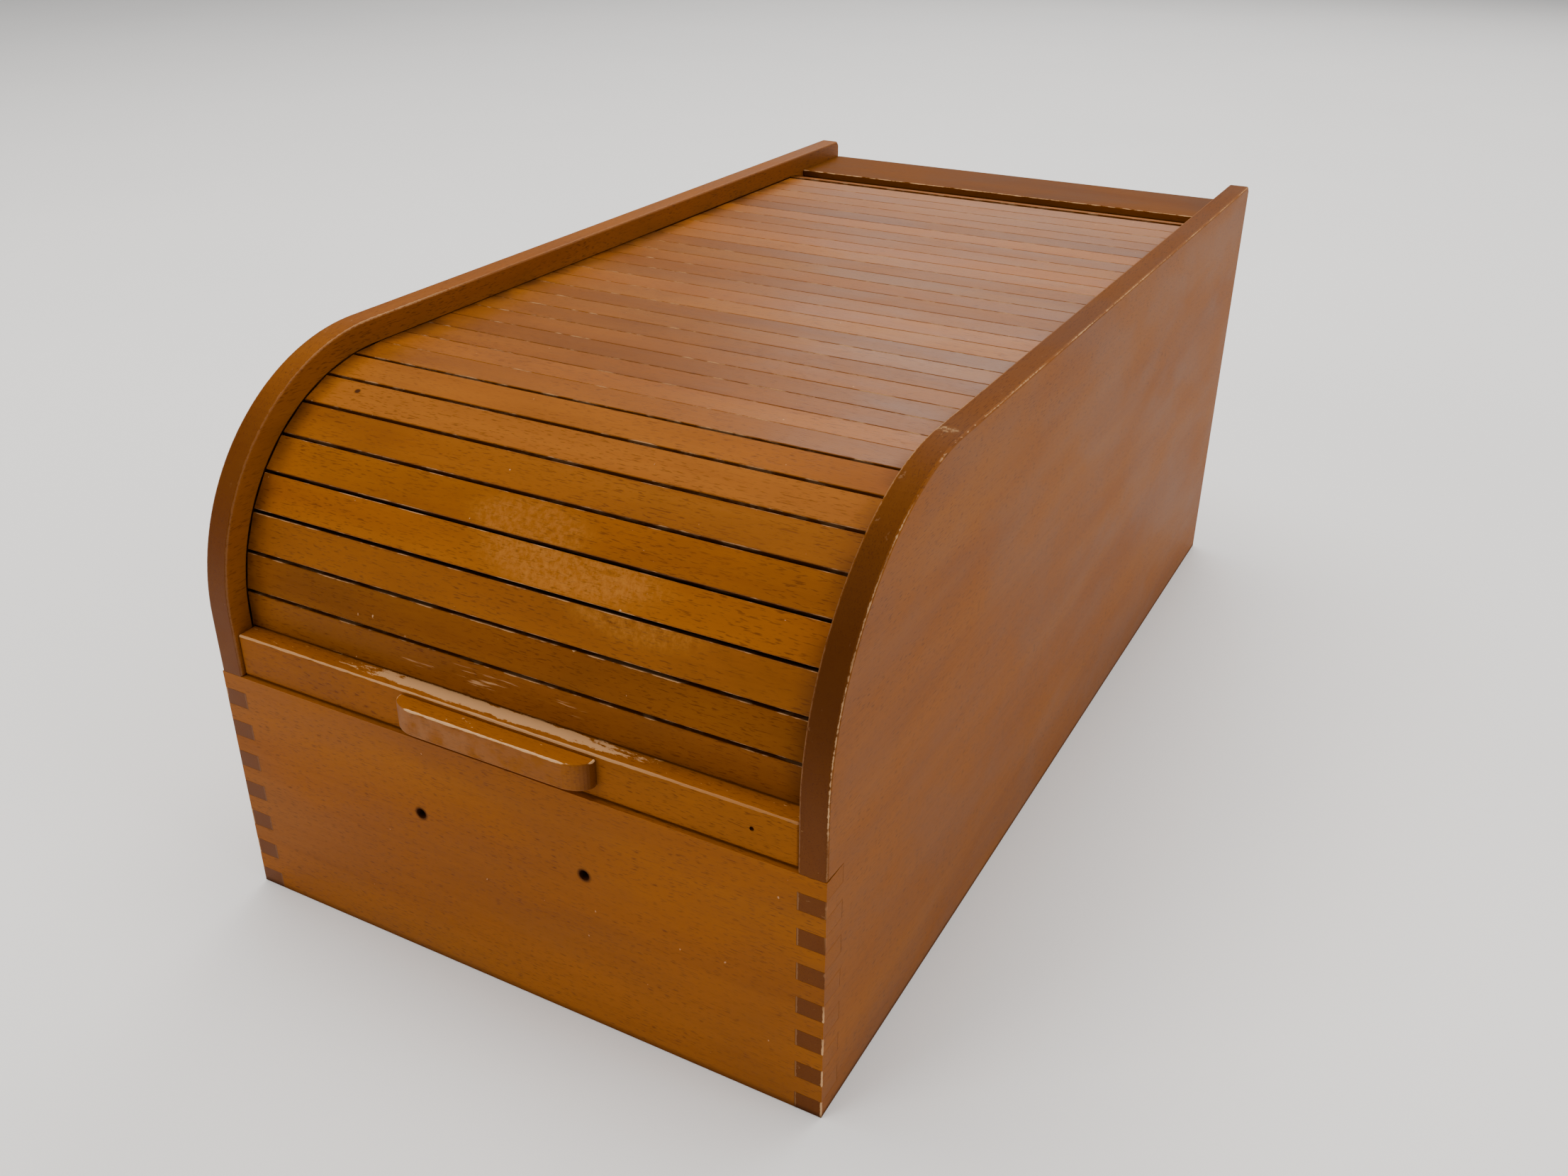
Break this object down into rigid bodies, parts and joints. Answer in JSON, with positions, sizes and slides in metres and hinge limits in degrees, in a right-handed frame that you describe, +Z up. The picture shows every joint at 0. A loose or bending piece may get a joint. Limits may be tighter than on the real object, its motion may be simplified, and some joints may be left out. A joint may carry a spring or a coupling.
{
  "type": "roll-top bread bin",
  "caption": "Long wooden bread bin with a slatted roll-top front that slides back over a finger-jointed box.",
  "frame": {"origin": "on the floor, under the middle of the bin's overall box (handle included)", "axes": "+Z up; +Y from the front board towards the back panel; +X to the right of someone facing the front"},
  "size_m": [0.25, 0.4898, 0.2095],
  "materials": {
    "left_side_panel": "satin lacquered beech, orange-brown",
    "right_side_panel": "satin lacquered beech, orange-brown",
    "front_board": "satin lacquered beech, orange-brown",
    "back_panel": "satin lacquered beech, orange-brown",
    "bottom_board": "thin plain beech board, lightly sealed",
    "back_top_rail": "satin lacquered beech, orange-brown",
    "slat_10": "satin lacquered beech, orange-brown",
    "slat_11": "satin lacquered beech, orange-brown",
    "slat_12": "satin lacquered beech, orange-brown",
    "slat_13": "satin lacquered beech, orange-brown",
    "slat_14": "satin lacquered beech, orange-brown",
    "slat_15": "satin lacquered beech, orange-brown",
    "slat_16": "satin lacquered beech, orange-brown",
    "slat_17": "satin lacquered beech, orange-brown",
    "slat_18": "satin lacquered beech, orange-brown",
    "slat_19": "satin lacquered beech, orange-brown",
    "slat_20": "satin lacquered beech, orange-brown",
    "slat_21": "satin lacquered beech, orange-brown",
    "slat_22": "satin lacquered beech, orange-brown",
    "slat_23": "satin lacquered beech, orange-brown",
    "canvas_top": "plain woven canvas",
    "slat_09": "satin lacquered beech, orange-brown",
    "canvas_09": "plain woven canvas",
    "slat_08": "satin lacquered beech, orange-brown",
    "canvas_08": "plain woven canvas",
    "slat_07": "satin lacquered beech, orange-brown",
    "canvas_07": "plain woven canvas",
    "slat_06": "satin lacquered beech, orange-brown",
    "canvas_06": "plain woven canvas",
    "slat_05": "satin lacquered beech, orange-brown",
    "canvas_05": "plain woven canvas",
    "slat_04": "satin lacquered beech, orange-brown",
    "canvas_04": "plain woven canvas",
    "slat_03": "satin lacquered beech, orange-brown",
    "canvas_03": "plain woven canvas",
    "slat_02": "satin lacquered beech, orange-brown",
    "canvas_02": "plain woven canvas",
    "slat_01": "satin lacquered beech, orange-brown",
    "canvas_01": "plain woven canvas",
    "lead_rail": "satin lacquered beech, orange-brown",
    "handle": "satin lacquered beech, orange-brown",
    "handle_screw_1": "zinc-plated wood screw",
    "handle_screw_2": "zinc-plated wood screw",
    "slat_24": "satin lacquered beech, orange-brown",
    "canvas_24": "plain woven canvas",
    "slat_25": "satin lacquered beech, orange-brown",
    "canvas_25": "plain woven canvas",
    "slat_26": "satin lacquered beech, orange-brown",
    "canvas_26": "plain woven canvas",
    "slat_27": "satin lacquered beech, orange-brown",
    "slat_28": "satin lacquered beech, orange-brown",
    "slat_29": "satin lacquered beech, orange-brown",
    "slat_30": "satin lacquered beech, orange-brown",
    "slat_31": "satin lacquered beech, orange-brown",
    "slat_32": "satin lacquered beech, orange-brown",
    "slat_33": "satin lacquered beech, orange-brown",
    "slat_34": "satin lacquered beech, orange-brown",
    "slat_35": "satin lacquered beech, orange-brown",
    "canvas_tail": "plain woven canvas"
  },
  "bodies": {
    "cabinet": {"left_side_panel": "left_side_panel", "right_side_panel": "right_side_panel", "front_board": "front_board", "back_panel": "back_panel", "bottom_board": "bottom_board", "back_top_rail": "back_top_rail"},
    "curtain_top": {"slat_10": "slat_10", "slat_11": "slat_11", "slat_12": "slat_12", "slat_13": "slat_13", "slat_14": "slat_14", "slat_15": "slat_15", "slat_16": "slat_16", "slat_17": "slat_17", "slat_18": "slat_18", "slat_19": "slat_19", "slat_20": "slat_20", "slat_21": "slat_21", "slat_22": "slat_22", "slat_23": "slat_23", "canvas_top": "canvas_top"},
    "link_09": {"slat_09": "slat_09", "canvas_09": "canvas_09"},
    "link_08": {"slat_08": "slat_08", "canvas_08": "canvas_08"},
    "link_07": {"slat_07": "slat_07", "canvas_07": "canvas_07"},
    "link_06": {"slat_06": "slat_06", "canvas_06": "canvas_06"},
    "link_05": {"slat_05": "slat_05", "canvas_05": "canvas_05"},
    "link_04": {"slat_04": "slat_04", "canvas_04": "canvas_04"},
    "link_03": {"slat_03": "slat_03", "canvas_03": "canvas_03"},
    "link_02": {"slat_02": "slat_02", "canvas_02": "canvas_02"},
    "link_01": {"slat_01": "slat_01", "canvas_01": "canvas_01"},
    "lead": {"lead_rail": "lead_rail", "handle": "handle", "handle_screw_1": "handle_screw_1", "handle_screw_2": "handle_screw_2"},
    "link_24": {"slat_24": "slat_24", "canvas_24": "canvas_24"},
    "link_25": {"slat_25": "slat_25", "canvas_25": "canvas_25"},
    "link_26": {"slat_26": "slat_26", "canvas_26": "canvas_26"},
    "tail": {"slat_27": "slat_27", "slat_28": "slat_28", "slat_29": "slat_29", "slat_30": "slat_30", "slat_31": "slat_31", "slat_32": "slat_32", "slat_33": "slat_33", "slat_34": "slat_34", "slat_35": "slat_35", "canvas_tail": "canvas_tail"}
  },
  "joints": [
    {"name": "curtain_slide", "type": "slide", "parent": "cabinet", "child": "curtain_top", "axis": [0, 1, 0], "range_m": [0, 0.14]},
    {"name": "fold_09", "type": "hinge", "parent": "curtain_top", "child": "link_09", "pos_m": [0, -0.15292, 0.1945], "axis": [-1, 0, 0], "range_deg": [0, 2.84]},
    {"name": "fold_08", "type": "hinge", "parent": "link_09", "child": "link_08", "pos_m": [0, -0.16165, 0.19407], "axis": [-1, 0, 0], "range_deg": [0, 10.71]},
    {"name": "fold_07", "type": "hinge", "parent": "link_08", "child": "link_07", "pos_m": [0, -0.17511, 0.19084], "axis": [-1, 0, 0], "range_deg": [0, 10.71]},
    {"name": "fold_06", "type": "hinge", "parent": "link_07", "child": "link_06", "pos_m": [0, -0.18773, 0.18517], "axis": [-1, 0, 0], "range_deg": [0, 10.71]},
    {"name": "fold_05", "type": "hinge", "parent": "link_06", "child": "link_05", "pos_m": [0, -0.19909, 0.17725], "axis": [-1, 0, 0], "range_deg": [0, 10.71]},
    {"name": "fold_04", "type": "hinge", "parent": "link_05", "child": "link_04", "pos_m": [0, -0.20878, 0.16737], "axis": [-1, 0, 0], "range_deg": [0, 10.71]},
    {"name": "fold_03", "type": "hinge", "parent": "link_04", "child": "link_03", "pos_m": [0, -0.21647, 0.15587], "axis": [-1, 0, 0], "range_deg": [0, 10.71]},
    {"name": "fold_02", "type": "hinge", "parent": "link_03", "child": "link_02", "pos_m": [0, -0.22189, 0.14314], "axis": [-1, 0, 0], "range_deg": [0, 10.71]},
    {"name": "fold_01", "type": "hinge", "parent": "link_02", "child": "link_01", "pos_m": [0, -0.22486, 0.12962], "axis": [-1, 0, 0], "range_deg": [0, 10.71]},
    {"name": "fold_lead", "type": "hinge", "parent": "link_01", "child": "lead", "pos_m": [0, -0.22527, 0.1158], "axis": [-1, 0, 0], "range_deg": [0, 1.72]},
    {"name": "fold_24", "type": "hinge", "parent": "curtain_top", "child": "link_24", "pos_m": [0, 0.04536, 0.1945], "axis": [-1, 0, 0], "range_deg": [0, 14.08]},
    {"name": "fold_25", "type": "hinge", "parent": "link_24", "child": "link_25", "pos_m": [0, 0.05916, 0.1945], "axis": [-1, 0, 0], "range_deg": [0, 26.38]},
    {"name": "fold_26", "type": "hinge", "parent": "link_25", "child": "link_26", "pos_m": [0, 0.07296, 0.1945], "axis": [-1, 0, 0], "range_deg": [0, 26.38]},
    {"name": "fold_tail", "type": "hinge", "parent": "link_26", "child": "tail", "pos_m": [0, 0.08676, 0.1945], "axis": [-1, 0, 0], "range_deg": [0, 23.25]}
  ],
  "couplings": [
    {"joint": "fold_09", "follows": "curtain_slide", "rad_per_m": 0.35125},
    {"joint": "fold_08", "follows": "curtain_slide", "rad_per_m": 1.332},
    {"joint": "fold_07", "follows": "curtain_slide", "rad_per_m": 1.332},
    {"joint": "fold_06", "follows": "curtain_slide", "rad_per_m": 1.332},
    {"joint": "fold_05", "follows": "curtain_slide", "rad_per_m": 1.332},
    {"joint": "fold_04", "follows": "curtain_slide", "rad_per_m": 1.332},
    {"joint": "fold_03", "follows": "curtain_slide", "rad_per_m": 1.332},
    {"joint": "fold_02", "follows": "curtain_slide", "rad_per_m": 1.332},
    {"joint": "fold_01", "follows": "curtain_slide", "rad_per_m": 1.332},
    {"joint": "fold_lead", "follows": "curtain_slide", "rad_per_m": 0.21235},
    {"joint": "fold_24", "follows": "curtain_slide", "rad_per_m": 1.7526},
    {"joint": "fold_25", "follows": "curtain_slide", "rad_per_m": 3.2857},
    {"joint": "fold_26", "follows": "curtain_slide", "rad_per_m": 3.2857},
    {"joint": "fold_tail", "follows": "curtain_slide", "rad_per_m": 2.8959}
  ]
}
